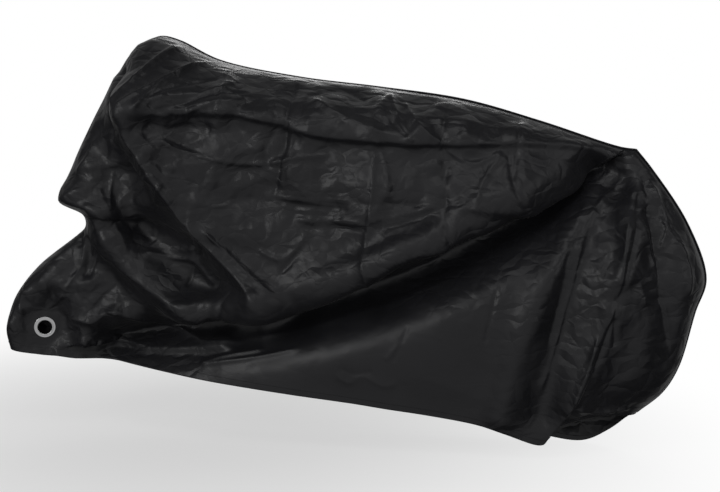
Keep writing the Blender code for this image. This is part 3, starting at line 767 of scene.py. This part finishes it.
def nickel_plate():
    """Pressed brass with bright nickel plate: clear reflections, faint handling marks."""
    material, output = new_material("bright_nickel_plate")
    place = add_node(material, "ShaderNodeTexCoord").outputs["Object"]
    marks = add_node(material, "ShaderNodeTexNoise", None,
                     {"Vector": place, "Scale": 260.0, "Detail": 3.0})
    rough = add_node(material, "ShaderNodeMapRange", None,
                     {"Value": marks.outputs["Fac"], "From Min": 0.35, "From Max": 0.7,
                      "To Min": 0.16, "To Max": 0.30})
    bump = add_node(material, "ShaderNodeBump", None,
                    {"Height": marks.outputs["Fac"], "Strength": 0.08, "Distance": 0.0002})
    return principled(material, output, {
        "Base Color": hex_colour("#dcdcdd"), "Metallic": 1.0,
        "Roughness": rough.outputs["Result"], "Normal": bump.outputs["Normal"]})


def polyester_thread():
    """Black spun polyester sewing thread: matt, with the ply showing as fine ribs."""
    material, output = new_material("black_polyester_thread")
    place = add_node(material, "ShaderNodeTexCoord").outputs["Object"]
    ply = add_node(material, "ShaderNodeTexWave", {"bands_direction": "DIAGONAL"},
                   {"Vector": place, "Scale": 40.0})
    bump = add_node(material, "ShaderNodeBump", None,
                    {"Height": ply.outputs["Fac"], "Strength": 0.2, "Distance": 0.0002})
    return principled(material, output, {
        "Base Color": hex_colour("#1b1b1d"), "Roughness": 0.65, "IOR": 1.5,
        "Normal": bump.outputs["Normal"]})


# Distances from the cover between which the floor's painted glow grows from part to full, so that
# the floor passes into the white backdrop
FLOOR_NEAR, FLOOR_FAR = 0.9, 2.2


def floor_paper_and_painted_glow():
    """Matt white background paper with a painted glow that grows outwards into the white backdrop.
    """
    material, output = new_material("white_paper_and_painted_glow")
    place = add_node(material, "ShaderNodeTexCoord").outputs["Object"]
    grain = add_node(material, "ShaderNodeTexNoise", None, {"Vector": place, "Scale": 400.0})
    bump = add_node(material, "ShaderNodeBump", None,
                    {"Height": grain.outputs["Fac"], "Strength": 0.05, "Distance": 0.0002})
    paper = add_node(material, "ShaderNodeBsdfPrincipled", None,
                     {"Base Color": hex_colour("#f4f4f4"), "Roughness": 0.9,
                      "Specular IOR Level": 0.2, "Normal": bump.outputs["Normal"]})
    # Painted glow: white emission that brightens the floor where no lamp does. It is 0.45 of the
    # floor near the cover, which lightens the cover's shadow, and all of it far away.
    glow = add_node(material, "ShaderNodeEmission", None,
                    {"Color": hex_colour("#ffffff"), "Strength": 1.0})
    distance = add_node(material, "ShaderNodeVectorMath", {"operation": "LENGTH"})
    material.node_tree.links.new(place, distance.inputs[0])
    fade = add_node(material, "ShaderNodeMapRange", {"interpolation_type": "SMOOTHSTEP"},
                    {"Value": distance.outputs["Value"], "From Min": FLOOR_NEAR,
                     "From Max": FLOOR_FAR, "To Min": 0.45, "To Max": 1.0})
    mix = add_node(material, "ShaderNodeMixShader", None, {"Fac": fade.outputs["Result"]})
    material.node_tree.links.new(paper.outputs["BSDF"], mix.inputs[1])
    material.node_tree.links.new(glow.outputs["Emission"], mix.inputs[2])
    material.node_tree.links.new(mix.outputs["Shader"], output.inputs["Surface"])
    return material


# ---------------------------------------------------------------- pieces

CLOTH_FINISH = coated_taffeta()
METAL_FINISH = nickel_plate()
THREAD_FINISH = polyester_thread()


def add_piece(name, mesh, material):
    """Put a mesh in the scene with its finish, on the cover's one body."""
    mesh.materials.append(material)
    piece = bpy.data.objects.new(name, mesh)
    bpy.context.scene.collection.objects.link(piece)
    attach(piece, "root")
    return piece


def ring_mesh(side):
    """Turned eyelet: rolled outer rims on both faces and a bore with a soft lip."""
    arcs = [(EYELET_BORE + BORE_LIP, BORE_LIP, 180, 60),
            (EYELET_FLANGE - RIM_ROLL, RIM_ROLL, 120, -25)]
    profile = []
    for face in (1, -1):
        points = []
        for radius, size, first, last in arcs:
            for step in range(RIM_STEPS + 1):
                angle = math.radians(first + (last - first) * step / RIM_STEPS)
                points.append((radius + size * math.cos(angle),
                               face * (EYELET_LIFT + size * math.sin(angle))))
        profile += points[::face]
    axis = eyelet_axis(side)
    up = np.array([0.0, 0.0, 1.0])
    across = np.cross(axis, up)
    centre = np.array(EYELET_PLACES[side]) - CLOTH_MIDDLE * axis
    verts = []
    for step in range(RING_STEPS):
        angle = 2 * math.pi * step / RING_STEPS
        spoke = math.cos(angle) * across + math.sin(angle) * up
        verts += [centre + radius * spoke + height * axis for radius, height in profile]
    index = ring_index(RING_STEPS, len(profile))
    index = np.vstack([index, index[:1]])
    return smooth_mesh("ring_" + side, verts, grid_quads(index.T).tolist())


def stitch_mesh(side, points, outward):
    """A row of stitches along the top of the turned hem."""
    line = points[:, STITCH_ROW] + STITCH_RADIUS * outward[:, STITCH_ROW]
    lengths = np.concatenate([[0.0], np.cumsum(np.linalg.norm(np.diff(line, axis=0), axis=1))])
    verts, faces = [], []
    for start in np.arange(STITCH_MARGIN, lengths[-1] - STITCH_MARGIN, STITCH_PITCH):
        here, ahead = [np.array([np.interp(place, lengths, line[:, k]) for k in range(3)])
                       for place in (start, start + 0.001)]
        out = np.array([np.interp(start, lengths, outward[:, STITCH_ROW, k]) for k in range(3)])
        run = (ahead - here) / np.linalg.norm(ahead - here)
        out = out - run * np.dot(out, run)
        out /= np.linalg.norm(out)
        cross = np.cross(run, out)
        index = ring_index(len(STITCH_RINGS), STITCH_SIDES, len(verts))
        for place, swell in STITCH_RINGS:
            for k in range(STITCH_SIDES):
                angle = 2 * math.pi * k / STITCH_SIDES
                verts.append(here + run * place * STITCH_LENGTH + STITCH_RADIUS * swell
                             * (math.cos(angle) * cross + math.sin(angle) * out))
        faces += grid_quads(index).tolist()
        faces += [index[0, -2::-1].tolist(), index[-1, :-1].tolist()]
    return smooth_mesh("stitches_" + side, verts, faces)


def seam_mesh():
    """Narrow ridge where the panels are sewn together: up the front, along, down the rear."""
    path = np.vstack([smooth_path(FRONT_SEAM, 10)[::-1], smooth_path(SPINE_SEAM, 10)[1:],
                      smooth_path(REAR_SEAM, 10)[1:]])
    tangent = np.gradient(path, axis=0)
    tangent /= np.linalg.norm(tangent, axis=1, keepdims=True)
    sideways = np.array([0.0, 1.0, 0.0])
    upward = np.cross(tangent, sideways)
    sides = 8
    angles = 2 * np.pi * np.arange(sides) / sides
    rings = (path[:, None] + SEAM_RIDGE * (np.cos(angles)[None, :, None] * sideways
                                           + np.sin(angles)[None, :, None] * upward[:, None]))
    index = ring_index(len(path), sides)
    faces = grid_quads(index).tolist() + [index[0, -2::-1].tolist(), index[-1, :-1].tolist()]
    mesh = smooth_mesh("sewn_seam", rings.reshape(-1, 3), faces)
    for end in mesh.polygons[-2:]:
        end.use_smooth = False
    return mesh


seam = add_piece("sewn_seam", seam_mesh(), CLOTH_FINISH)

for name in SIDES:
    cloth_mesh, surface = panel_mesh(name)
    cloth = add_piece("cloth_" + name, cloth_mesh, CLOTH_FINISH)
    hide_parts("panel_" + name)
    ring = add_piece("ring_" + name, ring_mesh(name), METAL_FINISH)
    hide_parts("eyelet_" + name)
    facing_out = surface_normals(surface, SIDES[name]["outward"])
    stitches = add_piece("stitches_" + name, stitch_mesh(name, surface, facing_out), THREAD_FINISH)


# ---------------------------------------------------------------- studio

# Surround: a little light all round and from above, more from in front and from behind
EVEN_LIGHT = 0.004
HIGH_LIGHT = 0.07
FRONT_LIGHT = 0.40
BACK_LIGHT = 0.34
# Soft boxes: name, place, what it faces, size, power
SOFT_BOXES = [
    ("key_box", (-2.0, -3.2, 2.2), (0.0, -0.1, 0.6), (1.5, 1.5), 19),
    ("top_box", (0.6, -1.8, 3.2), (0.1, 0.0, 0.5), (1.6, 1.0), 7),
    ("rear_box", (3.0, -1.6, 1.6), (0.6, 0.0, 0.5), (1.2, 1.8), 6),
    ("back_box", (-0.6, 3.4, 2.0), (0.0, 0.0, 0.6), (2.4, 1.6), 30),
]


# Camera in making sizes
CAMERA_PLACE = (0.7028, -3.0714, 0.925)
CAMERA_TILT, CAMERA_TURN = math.radians(83.2), math.radians(12.0)
CAMERA_LENS = 55.25

FLOOR_GAP = 0.002        # the floor lies this far below the hem
FLOOR_REACH = 40.0
BACKDROP_HEIGHT = 50.0


def area_light(name, place, aim, size, power):
    """A soft box at a place in making sizes that faces another."""
    light = bpy.data.lights.new(name, "AREA")
    light.shape = "RECTANGLE"
    light.size, light.size_y = size
    light.energy = power
    lamp = bpy.data.objects.new(name, light)
    lamp.location = Vector(place) + Vector(SHIFT)
    lamp.rotation_euler = (Vector(aim) - Vector(place)).to_track_quat("-Z", "Y").to_euler()
    bpy.context.scene.collection.objects.link(lamp)


def stage_object(name, verts, faces, material, casts=True):
    """Part of the studio that only the camera sees, so that it adds no light of its own."""
    mesh = bpy.data.meshes.new(name)
    mesh.from_pydata(verts, [], faces)
    mesh.materials.append(material)
    thing = bpy.data.objects.new(name, mesh)
    bpy.context.scene.collection.objects.link(thing)
    thing.visible_diffuse = False
    thing.visible_glossy = False
    thing.visible_shadow = casts


def backdrop_white():
    """Lit white backdrop: even and without texture."""
    material, output = new_material("white_lit_backdrop")
    glow = add_node(material, "ShaderNodeEmission", None,
                    {"Color": hex_colour("#ffffff"), "Strength": 1.0})
    material.node_tree.links.new(glow.outputs["Emission"], output.inputs["Surface"])
    return material


def build_surround():
    """Soft light from all round, strongest from in front of the cover."""
    world = bpy.data.worlds.new("studio_surround")
    world.use_nodes = True
    direction = add_node(world, "ShaderNodeTexCoord").outputs["Generated"]
    axes = add_node(world, "ShaderNodeSeparateXYZ", None, {"Vector": direction})
    front = add_node(world, "ShaderNodeMapRange", {"interpolation_type": "SMOOTHSTEP"},
                     {"Value": axes.outputs["Y"], "From Min": -0.95, "From Max": -0.10,
                      "To Min": FRONT_LIGHT, "To Max": 0.0})
    behind = add_node(world, "ShaderNodeMapRange", {"interpolation_type": "SMOOTHSTEP"},
                      {"Value": axes.outputs["Y"], "From Min": 0.10, "From Max": 0.95,
                       "To Min": 0.0, "To Max": BACK_LIGHT})
    above = add_node(world, "ShaderNodeMapRange", None,
                     {"Value": axes.outputs["Z"], "From Min": -0.3, "From Max": 0.8,
                      "To Min": EVEN_LIGHT, "To Max": EVEN_LIGHT + HIGH_LIGHT})
    total = above
    for part in (front, behind):
        both = add_node(world, "ShaderNodeMath", {"operation": "ADD"})
        world.node_tree.links.new(total.outputs[0], both.inputs[0])
        world.node_tree.links.new(part.outputs["Result"], both.inputs[1])
        total = both
    background = world.node_tree.nodes["Background"]
    background.inputs["Color"].default_value = hex_colour("#ffffff")
    world.node_tree.links.new(total.outputs[0], background.inputs["Strength"])
    bpy.context.scene.world = world


def build_studio():
    """White floor and backdrop, soft boxes, and the camera."""
    ground = cad_bounds[0][2] - FLOOR_GAP
    corners = [(x * FLOOR_REACH, y * FLOOR_REACH) for x, y in ((-1, -1), (1, -1), (1, 1), (-1, 1))]
    stage_object("studio_floor", [(x, y, ground) for x, y in corners], [(0, 1, 2, 3)],
                 floor_paper_and_painted_glow())
    wall = [(x, y, z) for z in (ground - 1.0, ground + BACKDROP_HEIGHT) for x, y in corners]
    sides = [(k, (k + 1) % 4, (k + 1) % 4 + 4, k + 4) for k in range(4)] + [(4, 5, 6, 7)]
    stage_object("studio_backdrop", wall, sides, backdrop_white(), casts=False)
    for box in SOFT_BOXES:
        area_light(*box)
    build_surround()

    camera_data = bpy.data.cameras.new("camera")
    camera_data.lens = CAMERA_LENS
    camera_data.sensor_width = 36.0
    camera = bpy.data.objects.new("camera", camera_data)
    camera.location = Vector(CAMERA_PLACE) + Vector(SHIFT)
    camera.rotation_euler = (CAMERA_TILT, 0.0, CAMERA_TURN)
    bpy.context.scene.collection.objects.link(camera)
    bpy.context.scene.camera = camera
    bpy.context.scene.view_settings.view_transform = "Standard"


build_studio()
